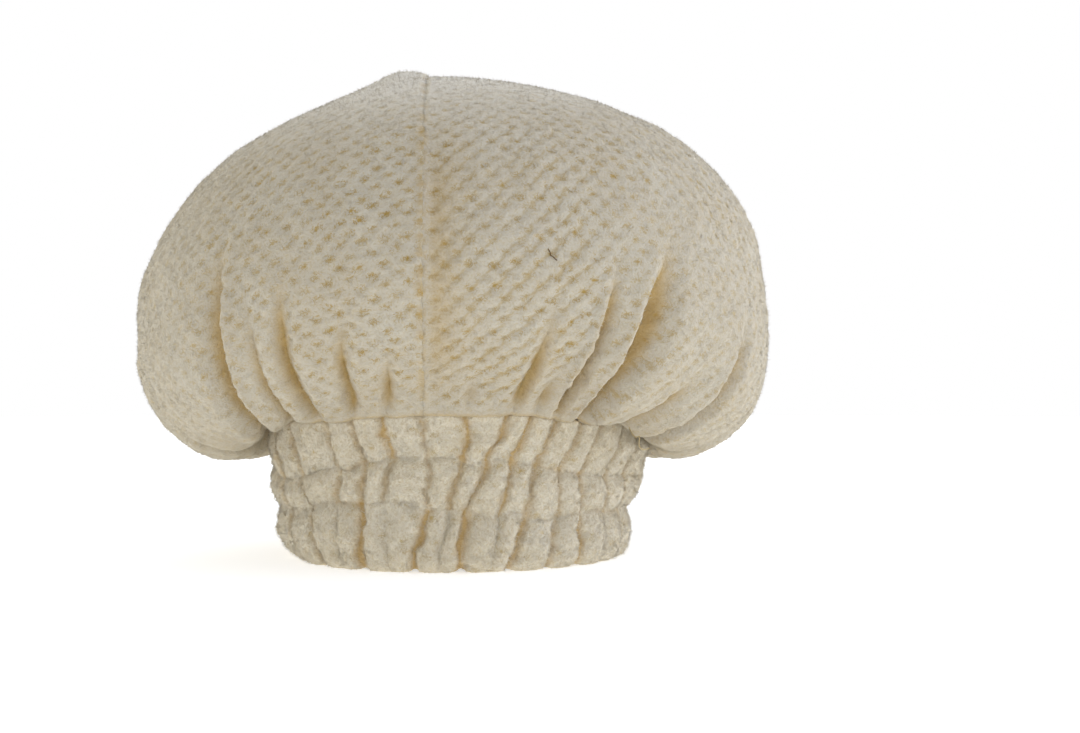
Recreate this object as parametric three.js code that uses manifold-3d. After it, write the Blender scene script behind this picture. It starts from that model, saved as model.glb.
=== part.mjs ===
// A towelling shower cap: two puffed crown panels, sewn together along a centre seam and gathered
// on to a band with three rows of elastic shirring. It stands on the band's hem.
// Millimetres, +Z up. The front faces -Y, and angles run from the front towards +X, in degrees.
import * as THREE from "three";
import { mergeVertices } from "three/addons/utils/BufferGeometryUtils.js";
import Module from "manifold-3d";

const wasm = await Module();
wasm.setup();

// Driving dimensions
const bandRadius = 78; // the band's mean outer radius, which gives its girth on the elastic
const bandTop = 63.5; // height of the join between the band and the crown
const bandWall = 7.5; // two layers of towelling and the elastic between them
const hemFlat = 4.5; // width of the ring that the hem rests on
const towelling = 3.5; // thickness of the crown's cloth
const pieceGap = 0.3; // clearance between sewn pieces
const seamX = -12.5; // the centre seam runs front to back in this plane
const farPast = 400; // reach of the box that halves the crown

// The crown's outline from its join with the band up to its peak, at the sides and at the front.
// Out is the distance from the axis, up the height, and shift moves a level towards +X.
const crownLevels = [
  { sideOut: 74, sideUp: 63.8, frontOut: 74, frontUp: 63.8, shift: 0 },
  { sideOut: 82, sideUp: 63.8, frontOut: 82, frontUp: 63.8, shift: 0 },
  { sideOut: 88, sideUp: 57, frontOut: 89, frontUp: 68, shift: 0 },
  { sideOut: 93, sideUp: 47.5, frontOut: 97, frontUp: 74, shift: 0 },
  { sideOut: 101, sideUp: 44, frontOut: 106, frontUp: 81, shift: 0 },
  { sideOut: 115.5, sideUp: 47, frontOut: 115, frontUp: 90, shift: 0 },
  { sideOut: 131, sideUp: 58.5, frontOut: 122, frontUp: 101, shift: 1 },
  { sideOut: 139.5, sideUp: 75, frontOut: 127, frontUp: 113, shift: 1 },
  { sideOut: 141.5, sideUp: 94, frontOut: 128, frontUp: 125, shift: 1 },
  { sideOut: 140, sideUp: 117, frontOut: 126, frontUp: 139, shift: 1 },
  { sideOut: 132.5, sideUp: 142, frontOut: 119, frontUp: 155, shift: 4 },
  { sideOut: 117.5, sideUp: 165.5, frontOut: 107, frontUp: 171, shift: 6 },
  { sideOut: 96, sideUp: 184, frontOut: 88, frontUp: 186, shift: 7.5 },
  { sideOut: 69, sideUp: 198, frontOut: 64, frontUp: 199, shift: 6 },
  { sideOut: 43, sideUp: 207.5, frontOut: 39, frontUp: 208, shift: -1 },
  { sideOut: 18, sideUp: 212.8, frontOut: 17, frontUp: 213, shift: -8 },
  { sideOut: 0, sideUp: 214.5, frontOut: 0, frontUp: 214.5, shift: -12.5 },
];
const overhangStart = 5; // angles over which the front outline turns into the side outline
const overhangFull = 95;
const backTuck = { from: 110, to: 180, sag: 0.25, out: 0.055 }; // how the back falls short

// The creases that rise from the band, round the crown from the left of the back. Low, mid and high
// are a crease's angle at the band, half way up it and at its end; top is the level where it ends.
// Depth is in mm, and left and right are how far off the ridges beside it stand, in mm.
const creases = [
  { low: -160, mid: -163, high: -161, top: 8, depth: 7, left: 8, right: 8 },
  { low: -141, mid: -139, high: -142, top: 9.4, depth: 9, left: 9, right: 8 },
  { low: -122, mid: -121, high: -119, top: 8, depth: 7, left: 7, right: 9 },
  { low: -104, mid: -101, high: -102, top: 9, depth: 8, left: 9, right: 8 },
  { low: -88, mid: -79, high: -77, top: 7, depth: 6, left: 8, right: 8 },
  { low: -71, mid: -49, high: -43.5, top: 10, depth: 14, left: 11, right: 5 },
  { low: -57, mid: -42, high: -37.5, top: 8.4, depth: 6, left: 4, right: 4 },
  { low: -42, mid: -35, high: -28, top: 9.2, depth: 9, left: 5, right: 7 },
  { low: -31, mid: -24.5, high: -19, top: 7.2, depth: 9, left: 5, right: 5 },
  { low: -21, mid: -16, high: -12, top: 5.6, depth: 6, left: 4, right: 4 },
  { seam: "front" },
  { low: 3.5, mid: 3.5, high: 5, top: 4.2, depth: 4, left: 4, right: 5 },
  { low: 15.5, mid: 16.5, high: 17.5, top: 7.6, depth: 7, left: 5, right: 6 },
  { low: 23, mid: 22, high: 22.5, top: 5, depth: 4, left: 3.5, right: 3 },
  { low: 30, mid: 26.5, high: 29, top: 9.2, depth: 9, left: 3.5, right: 8 },
  { low: 39, mid: 33, high: 42, top: 9.8, depth: 15, left: 5.5, right: 13 },
  { low: 51, mid: 49, high: 53, top: 7, depth: 7, left: 6, right: 8 },
  { low: 68, mid: 60, high: 63, top: 8.4, depth: 11, left: 9, right: 6 },
  { low: 86, mid: 80, high: 80, top: 8, depth: 6, left: 8, right: 8 },
  { low: 104, mid: 102, high: 99, top: 9.2, depth: 9, left: 8, right: 9 },
  { low: 122, mid: 121, high: 119, top: 7.6, depth: 7, left: 8, right: 7 },
  { low: 142, mid: 139, high: 140, top: 9.4, depth: 9, left: 8, right: 9 },
  { low: 161, mid: 162, high: 159, top: 7.8, depth: 6, left: 8, right: 8 },
  { seam: "back" },
];
const ridgeReach = 0.35; // no ridge stands further off than this share of the way to the next crease
const wideGap = 14; // creases further apart than this angle at the band have two columns between
const ridgeShare = 0.3; // the ridge beside a crease stands proud by this share of its depth
const seamGroove = { depth: 1.6, width: 4 };
const seamSwing = 8; // above this level the columns swing round with the seam
const peakTuft = { x: -24, y: -15, radius: 12, height: 4 }; // the swelling beside the seam's top

// Heights of the band's two inner rows of stitching, which wander as the elastic draws them in.
const shirring = [
  { angle: -180, lower: 25, upper: 42 },
  { angle: -135, lower: 25, upper: 41 },
  { angle: -90, lower: 23, upper: 38 },
  { angle: -60, lower: 23.5, upper: 37 },
  { angle: -27, lower: 29.5, upper: 44.5 },
  { angle: 0, lower: 25, upper: 46 },
  { angle: 25, lower: 21.5, upper: 42.5 },
  { angle: 55, lower: 21.5, upper: 36.5 },
  { angle: 90, lower: 22, upper: 36 },
  { angle: 135, lower: 24, upper: 40 },
  { angle: 180, lower: 25, upper: 42 },
];
// The band's outer face from the hem up. Row counts the lines of stitching below: 0 is the hem, 3 the
// join. Out is added to the band's radius, and cut is how deep the gathers go.
const bandLevels = [
  { row: 0, out: -2.5, cut: 2 },
  { row: 0.1, out: 1, cut: 4 },
  { row: 0.35, out: 3, cut: 6 },
  { row: 0.65, out: 2.8, cut: 6 },
  { row: 0.87, out: 1, cut: 5 },
  { row: 1, out: -2, cut: 2 },
  { row: 1.5, out: 2, cut: 5.5 },
  { row: 2, out: -1.5, cut: 2 },
  { row: 2.25, out: 2, cut: 4.5 },
  { row: 2.75, out: 2, cut: 4 },
  { row: 3, out: -0.5, cut: 1.5 },
];
// The gathers across the front: where each groove crosses the join, the two rows of shirring and the
// hem, in degrees, and how strongly it shows in the top, middle and bottom rows of the band.
const frontGathers = [
  { join: -60, upper: -56, lower: -51, hem: -47, top: 0.9, middle: 0.5, bottom: 0.7 },
  { join: -41, upper: -38, lower: -38.5, hem: -38, top: 0.6, middle: 0.8, bottom: 0.2 },
  { join: -31, upper: -28, lower: -29, hem: -30, top: 0.8, middle: 0.9, bottom: 1.3 },
  { join: -21.5, upper: -19, lower: -21.5, hem: -21, top: 1.3, middle: 0.7, bottom: 0.2 },
  { join: -10, upper: -8, lower: -8.5, hem: -13, top: 0.7, middle: 0.7, bottom: 1.3 },
  { join: 3.5, upper: 2, lower: -2, hem: -4.5, top: 1.2, middle: 0.9, bottom: 0.2 },
  { join: 15.5, upper: 10, lower: 3.5, hem: 1.5, top: 1, middle: 1, bottom: 1.3 },
  { join: 23, upper: 18, lower: 13, hem: 10.5, top: 1.1, middle: 1, bottom: 0.3 },
  { join: 31, upper: 25.5, lower: 22, hem: 16, top: 0.9, middle: 0.8, bottom: 1.1 },
  { join: 40, upper: 34, lower: 33, hem: 29.5, top: 0.8, middle: 0.8, bottom: 0.8 },
  { join: 50, upper: 42, lower: 43.5, hem: 42, top: 0.8, middle: 0.7, bottom: 1.2 },
  { join: 64, upper: 54, lower: 56, hem: 56, top: 0.8, middle: 0.7, bottom: 0.3 },
];
const plainGathers = 21; // the rest of the gathers, spread round the back
const unevenness = 0.3; // how far a plain gather strays, as a share of the gap between two
const closedUp = 0.25; // how strongly every third plain gather shows in the bottom row
const stepsPerGather = 4;
const besideGroove = 0.3; // share of the cut at the columns on either side of a groove
const bandInnerRows = [3, 2, 1, 0]; // rows of points down the inner face
const hemTuck = { angle: -88, spread: 34, depth: 7, height: 22 }; // the hem turns under at the left
// How far the top of the band spreads at the sides.
const flares = [
  { angle: -90, spread: 30, out: 3.5 },
  { angle: 90, spread: 30, out: 8.5 },
];
const flareHeights = { start: 18, full: 40, fade: 46, end: 60 };

const { smoothstep, lerp, clamp, degToRad, radToDeg } = THREE.MathUtils;
const bell = (distance) => Math.exp(-distance * distance);
const wrapped = (angle) => THREE.MathUtils.euclideanModulo(angle + 180, 360) - 180;

// A closed ring of quads whose points come from place(column, row). LatheGeometry gives the mesh.
// The rows up to outerRows climb the outer face, and the others come back down the inner one.
function latheSurface(columns, rows, outerRows, place) {
  const profile = Array.from({ length: rows }, (_, row) => new THREE.Vector2(1, row));
  profile.push(profile[0].clone());
  const geometry = new THREE.LatheGeometry(profile, columns);
  matchDiagonals(geometry, rows, outerRows);
  const position = geometry.getAttribute("position");
  for (let i = 0; i < position.count; i++) {
    const column = Math.floor(i / profile.length) % columns;
    const point = place(column, (i % profile.length) % rows);
    position.setXYZ(i, point.x, point.y, point.z);
  }
  geometry.deleteAttribute("normal");
  geometry.deleteAttribute("uv");
  return mergeVertices(geometry, 1e-3);
}

// The inner face's quads are cut along the same diagonal of the cloth as the outer face's, so that
// the two faces stay clear of each other in the creases.
function matchDiagonals(geometry, rows, outerRows) {
  const index = geometry.getIndex();
  for (let quad = 0; quad < index.count / 6; quad++) {
    if (quad % rows < outerRows) continue;
    const [a, b, d, c] = [0, 1, 2, 3].map((corner) => index.getX(6 * quad + corner));
    [a, b, c, a, c, d].forEach((vertex, corner) => index.setX(6 * quad + corner, vertex));
  }
}

function solid(geometry) {
  const merged = mergeVertices(geometry, 1e-3);
  const mesh = new wasm.Mesh({
    numProp: 3,
    vertProperties: merged.getAttribute("position").array,
    triVerts: new Uint32Array(merged.index.array),
  });
  return new wasm.Manifold(mesh);
}

function geometryOf(manifold) {
  const mesh = manifold.getMesh();
  return new THREE.BufferGeometry()
    .setAttribute("position", new THREE.BufferAttribute(mesh.vertProperties, 3))
    .setIndex(new THREE.BufferAttribute(mesh.triVerts, 1));
}

// --- Crown ---

// The crown's plain outline at an angle, before any crease: one point out and up for each level.
function outlineAt(angle) {
  const turn = Math.abs(wrapped(angle));
  const behind = smoothstep(turn, backTuck.from, backTuck.to);
  const side = smoothstep(turn, overhangStart, overhangFull) * (1 - backTuck.sag * behind);
  return crownLevels.map((level, i) => ({
    out: lerp(level.frontOut, level.sideOut, side) * (1 - backTuck.out * behind * smoothstep(i, 1, 5)),
    up: lerp(level.frontUp, level.sideUp, side),
  }));
}

// The angle at which a level crosses the plane of the seam, at the front.
function seamAngle(level, facing) {
  const reach = outlineAt(facing)[level].out;
  return radToDeg(Math.asin(clamp((seamX - crownLevels[level].shift) / Math.max(reach, 1), -1, 1)));
}

// A crease's angle at a level, on the curve through its low, mid and high angles.
function creaseAngle(crease, level) {
  if (crease.seam === "front") return seamAngle(level, 0);
  if (crease.seam === "back") return 180 - seamAngle(level, 180);
  const t = Math.min(level / crease.top, 1);
  const low = crease.low * (1 - t) * (1 - 2 * t);
  const mid = crease.mid * 4 * t * (1 - t);
  const high = crease.high * t * (2 * t - 1);
  const angle = low + mid + high;
  const swing = level > seamSwing ? seamAngle(level, 0) - seamAngle(seamSwing, 0) : 0;
  return angle + swing * Math.cos(degToRad(angle));
}

function creaseDepth(crease, level) {
  if (crease.seam) return seamGroove.depth * smoothstep(level, 1, 3);
  return crease.depth * smoothstep(level, 1.5, 4.5) * (1 - smoothstep(level, 0.5 * crease.top, crease.top));
}

// Whether each stretch of cloth, from one crease to the next, is wide at the band.
const gapsWide = creases.map((crease, i) => {
  const next = creases[(i + 1) % creases.length];
  return THREE.MathUtils.euclideanModulo(creaseAngle(next, 0) - creaseAngle(crease, 0), 360) > wideGap;
});

// Angle and relief of every column of a level: the foot of each crease, the ridge on its right, the
// cloth between, and the ridge on the left of the next crease.
function columnsAt(level) {
  const columns = [];
  creases.forEach((crease, i) => {
    const next = creases[(i + 1) % creases.length];
    const start = creaseAngle(crease, level);
    const gap = THREE.MathUtils.euclideanModulo(creaseAngle(next, level) - start, 360);
    const reach = Math.max(outlineAt(start)[level].out, 1);
    const away = (width) => Math.min(radToDeg(width / reach), ridgeReach * gap);
    const right = start + away(crease.right ?? seamGroove.width);
    const left = start + gap - away(next.left ?? seamGroove.width);
    const depth = creaseDepth(crease, level);
    const rise = crease.seam ? 0 : ridgeShare * depth;
    const nextRise = next.seam ? 0 : ridgeShare * creaseDepth(next, level);
    columns.push({ angle: start, relief: -depth }, { angle: right, relief: rise });
    for (const share of gapsWide[i] ? [1 / 3, 2 / 3] : [1 / 2]) {
      columns.push({ angle: lerp(right, left, share), relief: lerp(rise, nextRise, share) });
    }
    columns.push({ angle: left, relief: nextRise });
  });
  return columns;
}

function peakRelief(x, y) {
  const away = Math.hypot(x - peakTuft.x, y - peakTuft.y) / peakTuft.radius;
  return x < seamX ? peakTuft.height * bell(away) : 0;
}

// A point of the crown: depth is 0 on the outer face and the cloth's thickness on the inner one.
function crownPoint({ angle, relief }, level, depth) {
  const outline = outlineAt(angle);
  const here = outline[level];
  const below = outline[Math.max(level - 1, 0)];
  const above = outline[Math.min(level + 1, outline.length - 1)];
  const isPeak = level === outline.length - 1;
  const along = new THREE.Vector2(above.out - below.out, above.up - below.up).normalize();
  const normal = isPeak ? new THREE.Vector2(0, 1) : new THREE.Vector2(along.y, -along.x);

  const turn = degToRad(angle);
  const x = crownLevels[level].shift + here.out * Math.sin(turn);
  const y = -here.out * Math.cos(turn);
  const offset = (isPeak ? -seamGroove.depth : relief + peakRelief(x, y)) - depth;
  const out = here.out + normal.x * offset;
  return new THREE.Vector3(
    crownLevels[level].shift + out * Math.sin(turn),
    -out * Math.cos(turn),
    here.up + normal.y * offset,
  );
}

// The whole crown as one hollow dome: up the outer face to the peak, then down the inner face.
function crownDome() {
  const count = crownLevels.length;
  const columns = crownLevels.map((_, level) => columnsAt(level));
  return solid(
    latheSurface(columns[0].length, 2 * count, count, (column, row) => {
      const outside = row < count;
      const level = outside ? row : 2 * count - 1 - row;
      return crownPoint(columns[level][column], level, outside ? 0 : towelling);
    }),
  );
}

// The panel on one side of the centre seam: side is -1 for the left and 1 for the right.
function crownPanel(dome, side) {
  const half = new THREE.BoxGeometry(farPast, 2 * farPast, 2 * farPast);
  half.translate(seamX + (side * (farPast + pieceGap)) / 2, 0, 0);
  half.deleteAttribute("normal");
  half.deleteAttribute("uv");
  return geometryOf(dome.intersect(solid(half)));
}

// --- Band ---

// Height of a row of stitching at an angle, on a smooth closed curve through the shirring table.
function shirringHeight(angle, name) {
  const count = shirring.length - 1;
  let i = 0;
  while (i < count - 1 && angle >= shirring[i + 1].angle) i++;
  const at = (k) => shirring[THREE.MathUtils.euclideanModulo(i + k, count)][name];
  const t = (angle - shirring[i].angle) / (shirring[i + 1].angle - shirring[i].angle);
  const slopeIn = (at(1) - at(-1)) / 2;
  const slopeOut = (at(2) - at(0)) / 2;
  const rise = at(1) - at(0);
  return at(0) + slopeIn * t + (3 * rise - 2 * slopeIn - slopeOut) * t ** 2 +
    (slopeIn + slopeOut - 2 * rise) * t ** 3;
}

function bandHeight(angle, row) {
  const lines = [0, shirringHeight(angle, "lower"), shirringHeight(angle, "upper"), bandTop];
  const below = Math.min(Math.floor(row), 2);
  return lerp(lines[below], lines[below + 1], row - below);
}

function plainGather(i) {
  const first = frontGathers[0];
  const last = frontGathers[frontGathers.length - 1];
  const share = (i + 1 + unevenness * Math.sin(2.4 * i)) / (plainGathers + 1);
  const across = (line) => lerp(last[line], first[line] + 360, share);
  return {
    join: across("join"),
    upper: across("upper"),
    lower: across("lower"),
    hem: across("hem"),
    top: 1,
    middle: 1,
    bottom: i % 3 === 1 ? closedUp : 1,
  };
}
const gathers = [...frontGathers, ...Array.from({ length: plainGathers }, (_, i) => plainGather(i))];

function grooveAngle(gather, row) {
  const lines = [gather.hem, gather.lower, gather.upper, gather.join];
  const below = Math.min(Math.floor(row), 2);
  return lerp(lines[below], lines[below + 1], row - below);
}

const showing = (gather, row) => [gather.bottom, gather.middle, gather.top][Math.min(Math.floor(row), 2)];

function flareAt(angle, height) {
  const { start, full, fade, end } = flareHeights;
  const upright = smoothstep(height, start, full) * (1 - smoothstep(height, fade, end));
  const spread = flares.map((flare) => flare.out * bell((angle - flare.angle) / flare.spread));
  return upright * (spread[0] + spread[1]);
}

// A point of the band, in from its crests by a share of the cut: all of it in a groove.
function bandPoint(column, row, out, cut) {
  const index = Math.floor(column / stepsPerGather);
  const step = column % stepsPerGather;
  const gather = gathers[index];
  const next = gathers[(index + 1) % gathers.length];
  const start = grooveAngle(gather, row);
  const gap = THREE.MathUtils.euclideanModulo(grooveAngle(next, row) - start, 360);
  const angle = wrapped(start + (gap * step) / stepsPerGather);
  const groove = showing(gather, row);
  const shares = [groove, besideGroove * groove, 0, besideGroove * showing(next, row)];

  const height = bandHeight(angle, row);
  const tucked = hemTuck.depth * bell((angle - hemTuck.angle) / hemTuck.spread);
  const tuck = tucked * Math.max(0, 1 - height / hemTuck.height) ** 2;
  const radius = out - cut * shares[step] - tuck + flareAt(angle, height);
  const turn = degToRad(angle);
  return new THREE.Vector3(radius * Math.sin(turn), -radius * Math.cos(turn), height);
}

function bandGeometry() {
  const outerCount = bandLevels.length;
  const rows = outerCount + bandInnerRows.length;
  return latheSurface(gathers.length * stepsPerGather, rows, outerCount, (column, index) => {
    if (index < outerCount) {
      const level = bandLevels[index];
      return bandPoint(column, level.row, bandRadius + level.out, level.cut);
    }
    const row = bandInnerRows[index - outerCount];
    const wall = row === 0 ? hemFlat - bandLevels[0].out : bandWall;
    return bandPoint(column, row, bandRadius - wall, 0);
  });
}

// --- Assembly ---

const cream = new THREE.MeshStandardMaterial({ color: 0xd8d3c4, roughness: 0.95, metalness: 0 });
const creamBand = new THREE.MeshStandardMaterial({ color: 0xd6cfbc, roughness: 0.95, metalness: 0 });

function piece(name, geometry, material) {
  const mesh = new THREE.Mesh(geometry, material);
  mesh.name = name;
  return mesh;
}

const dome = crownDome();
const cap = new THREE.Group();
cap.add(
  piece("crown_left", crownPanel(dome, -1), cream),
  piece("crown_right", crownPanel(dome, 1), cream),
  piece("band", bandGeometry(), creamBand),
);

// The cap stands on the ground plane with the middle of its bounding box over the origin.
const bounds = new THREE.Box3().setFromObject(cap);
const middle = bounds.getCenter(new THREE.Vector3());
cap.position.set(-middle.x, -middle.y, -bounds.min.z);

export default cap;
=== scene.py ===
import math

import bpy
import numpy as np
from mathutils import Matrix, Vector


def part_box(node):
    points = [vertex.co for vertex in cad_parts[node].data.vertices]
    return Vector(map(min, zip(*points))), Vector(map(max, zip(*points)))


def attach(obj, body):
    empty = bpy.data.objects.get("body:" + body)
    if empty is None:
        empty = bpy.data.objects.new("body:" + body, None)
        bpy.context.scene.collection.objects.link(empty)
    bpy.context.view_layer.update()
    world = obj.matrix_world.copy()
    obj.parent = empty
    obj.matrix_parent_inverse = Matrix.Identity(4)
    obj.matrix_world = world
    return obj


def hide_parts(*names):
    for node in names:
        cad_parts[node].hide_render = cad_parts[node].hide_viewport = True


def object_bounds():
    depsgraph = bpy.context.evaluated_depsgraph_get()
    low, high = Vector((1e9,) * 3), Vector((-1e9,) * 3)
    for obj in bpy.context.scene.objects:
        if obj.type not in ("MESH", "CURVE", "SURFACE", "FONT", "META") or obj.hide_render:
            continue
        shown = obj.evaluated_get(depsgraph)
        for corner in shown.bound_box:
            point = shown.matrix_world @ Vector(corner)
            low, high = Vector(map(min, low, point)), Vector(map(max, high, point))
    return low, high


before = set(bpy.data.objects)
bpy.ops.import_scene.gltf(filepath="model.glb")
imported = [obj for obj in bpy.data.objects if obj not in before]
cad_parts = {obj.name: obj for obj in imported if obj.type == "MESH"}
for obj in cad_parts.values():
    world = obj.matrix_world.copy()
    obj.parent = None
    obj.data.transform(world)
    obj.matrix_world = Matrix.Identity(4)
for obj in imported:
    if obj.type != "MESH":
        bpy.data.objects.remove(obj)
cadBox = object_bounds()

mm = 0.001

# Where the cap stands in the frame: its axis runs up through the middle of the band, and the seam's
# plane lies to the left of it. Tables below are in millimetres from that axis, with the front at -Y.
bandLow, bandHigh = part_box("band")
seamPlane = (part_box("crown_left")[1].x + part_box("crown_right")[0].x) / 2
seamOffset = -12.5
axis = np.array([seamPlane - seamOffset * mm, (bandLow.y + bandHigh.y) / 2, bandLow.z])
cloth = {
    "crownThickness": 3.5,
    "pieceGap": 0.02,
    "pitch": 1.1,  # the mesh's spacing over the crown
    # Rings with a smaller radius than the first number have only every so many columns.
    "thinned": ((9, 16), (18, 8), (34, 4), (66, 2)),
}


def smoothStep(value, low, high):
    t = np.clip((value - low) / (high - low), 0, 1)
    return t * t * (3 - 2 * t)


def mix(a, b, share):
    return a + (b - a) * share


def bell(distance):
    return np.exp(-distance * distance)


def wrapAngle(angle):
    return (angle + 180) % 360 - 180


def curveThrough(values, at):
    # a smooth curve through the values, which stand at 0, 1, 2 and so on
    values = np.asarray(values, float)
    last = len(values) - 1
    i = np.clip(np.floor(at).astype(int), 0, last - 1)
    t = at - i
    a, b = values[np.maximum(i - 1, 0)], values[i]
    c, d = values[i + 1], values[np.minimum(i + 2, last)]
    return b + 0.5 * t * (c - a + t * (2 * a - 5 * b + 4 * c - d + t * (3 * (b - c) + d - a)))


def hashed(*whole):
    # a repeatable number from 0 to 1 for each set of whole numbers
    mixed = np.zeros(np.broadcast(*whole).shape, np.uint32)
    for i, part in enumerate(whole):
        number = np.asarray(part).astype(np.int64).astype(np.uint32)
        mixed = mixed ^ (number * np.uint32(374761393 + 668265262 * i))
        mixed = (mixed ^ (mixed >> np.uint32(13))) * np.uint32(1274126177)
    return ((mixed ^ (mixed >> np.uint32(16))) & np.uint32(0xFFFFFF)) / float(0xFFFFFF)


def noise(points, size, seed=0):
    # smooth noise from -1 to 1 whose lumps measure about size
    scaled = points / size + 57.3
    cell = np.floor(scaled).astype(int)
    t = scaled - cell
    t = t * t * (3 - 2 * t)
    total = np.zeros(points.shape[:-1])
    for dx in (0, 1):
        for dy in (0, 1):
            for dz in (0, 1):
                weight = (
                    (t[..., 0] if dx else 1 - t[..., 0])
                    * (t[..., 1] if dy else 1 - t[..., 1])
                    * (t[..., 2] if dz else 1 - t[..., 2])
                )
                corner = hashed(cell[..., 0] + dx, cell[..., 1] + dy, cell[..., 2] + dz, seed)
                total += weight * corner
    return 2 * total - 1


def unit(vectors):
    return vectors / np.maximum(np.linalg.norm(vectors, axis=-1, keepdims=True), 1e-9)


def gridNormals(points):
    # outward normals of a grid whose rows climb and whose columns run to the right
    return unit(np.cross(np.gradient(points, axis=1), np.gradient(points, axis=0)))


def ringFaces(lower, upper):
    # faces between two rings of vertex numbers, where one ring may hold a whole multiple of the other
    faces = []
    if len(lower) >= len(upper):
        step = (len(lower) - 1) // (len(upper) - 1)
        for i in range(len(upper) - 1):
            faces.append([*lower[i * step:(i + 1) * step + 1], upper[i + 1], upper[i]])
    else:
        step = (len(upper) - 1) // (len(lower) - 1)
        for i in range(len(lower) - 1):
            faces.append([lower[i], lower[i + 1], *reversed(upper[i * step:(i + 1) * step + 1])])
    return faces


def meshObject(name, points, faces, attributes=None, flatFrom=None):
    # faces from number flatFrom on are shaded flat, which keeps the edges beside them crisp
    mesh = bpy.data.meshes.new(name)
    mesh.from_pydata(points.tolist(), [], faces)
    for key, values in (attributes or {}).items():
        layer = mesh.attributes.new(key, "FLOAT", "POINT")
        layer.data.foreach_set("value", np.asarray(values, np.float32))
    smooth = np.ones(len(mesh.polygons), bool)
    if flatFrom is not None:
        smooth[flatFrom:] = False
    mesh.polygons.foreach_set("use_smooth", smooth)
    mesh.update()
    piece = bpy.data.objects.new(name, mesh)
    bpy.context.scene.collection.objects.link(piece)
    return piece


# Outline from the join with the band up to the peak: distance out and height at the sides, the same at
# the front, and how far a level is shifted to the right.
crownLevels = np.array([
    # sideOut, sideUp, frontOut, frontUp, shift
    (74, 63.8, 74, 63.8, 0),
    (84, 63.8, 84, 63.8, 0),
    (88.5, 57, 89, 67.6, 0),
    (93, 47.5, 96, 74, 0),
    (101, 44, 106, 81, 0),
    (115.5, 47, 115, 90, 0),
    (131, 58.5, 122, 101, 1),
    (139.5, 75, 127, 113, 1),
    (141.5, 94, 128, 125, 1),
    (140, 117, 126, 139, 1),
    (132.5, 142, 119, 155, 4),
    (117.5, 165.5, 107, 171, 6),
    (96, 184, 88, 186, 7.5),
    (69, 198, 64, 199, 6),
    (43, 207.5, 39, 208, -1),
    (18, 212.8, 17, 213, -8),
    (0, 214.5, 0, 214.5, -12.5),
])
topLevel = len(crownLevels) - 1

# Creases from the left of the back, round the front, to the right of the back: the angle at the band,
# half way up and at the end, the level where it ends, its depth, and how far off its ridges stand.
creases = [
    # low, mid, high, top, depth, left, right
    (-160, -163, -161, 8, 7, 8, 8),
    (-141, -139, -142, 9.4, 9, 9, 8),
    (-122, -121, -119, 8, 7, 7, 9),
    (-104, -101, -102, 9, 8, 9, 8),
    (-88, -79, -77, 7, 6, 8, 8),
    (-71, -49, -43.5, 10, 9, 12, 8),
    (-57, -42, -37.5, 8.4, 4, 5, 6),
    (-42, -35, -28, 9.2, 5, 6, 8),
    (-31, -24.5, -19, 7.2, 4.5, 5, 6),
    (-21, -16, -12, 5.6, 3.5, 4, 5),
    "front seam",
    (3.5, 3.5, 5, 4.2, 2.5, 4, 5),
    (15.5, 16.5, 17.5, 7.6, 4, 5, 6),
    (23, 22, 22.5, 5, 3, 3.5, 3),
    (30, 26.5, 29, 9.2, 6.5, 5, 9),
    (39, 33, 42, 9.8, 13, 6.5, 14),
    (51, 49, 53, 7, 5, 6, 8),
    (68, 60, 63, 8.4, 11, 9, 6),
    (86, 80, 80, 8, 6, 8, 8),
    (104, 102, 99, 9.2, 9, 8, 9),
    (122, 121, 119, 7.6, 7, 8, 7),
    (142, 139, 140, 9.4, 9, 8, 9),
    (161, 162, 159, 7.8, 6, 8, 8),
    "back seam",
]
crown = {
    "joinDip": 3.5,  # how far the join dips to both sides of the front
    "overBand": 0.7,  # how far the crown's rim laps down over the band
    "overhangStart": 5,  # angles over which the front outline turns into the side outline
    "overhangFull": 95,
    "tuckFrom": 110,  # angles over which the back falls short of the sides
    "tuckTo": 180,
    "tuckSag": 0.25,  # how much less the back overhangs the band
    "tuckOut": 0.055,  # and how much less far out it stands
    "ridgeReach": 0.35,  # no ridge stands further off than this share of the way to the next crease
    "ridgeShare": 0.3,  # how far a ridge stands proud, as a share of its crease's depth
    "footWidth": 2.0,  # of the golden line of painted shade at the bottom of a crease
    "foldWidth": 3,  # of the stretch beside it where the waffle is pressed flat
    "fuzz": ((0.4, 2.3, 3), (0.3, 4.5, 5), (0.5, 11, 4)),  # height, size and seed of the pile's lumps
    "fuzzInFolds": 0.12,  # how much more of it for each mm that the cloth is folded in
    "grooveDepth": 0.8,  # of the groove along a seam
    "grooveWidth": 2.6,
    "seamValley": (2.4, 5, 22),  # a hollow on the right of the front seam: depth, deepest place and end
    "seamLip": (0.5, 9),  # the cloth on its left stands proud: height and width
    "lipReach": (0.5, 0.7, 2.6),  # its edge laps over the seam: how far, how unevenly, over what length
    "rubbed": (40, 130),  # mm down from the peak over which the pile is less and less rubbed flat and lightened by painted light
    "strongerPits": (102, -68, 154, 8, 0.8),  # x, y, z, size and extra strength of a place where the pits show deeper and more golden
    "seamSwing": 8,  # above this level the creases swing round with the seam
    "peakTuft": (-24, -15, 12, 4),  # x, y, radius and height of the swelling by the seam's top
}


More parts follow.
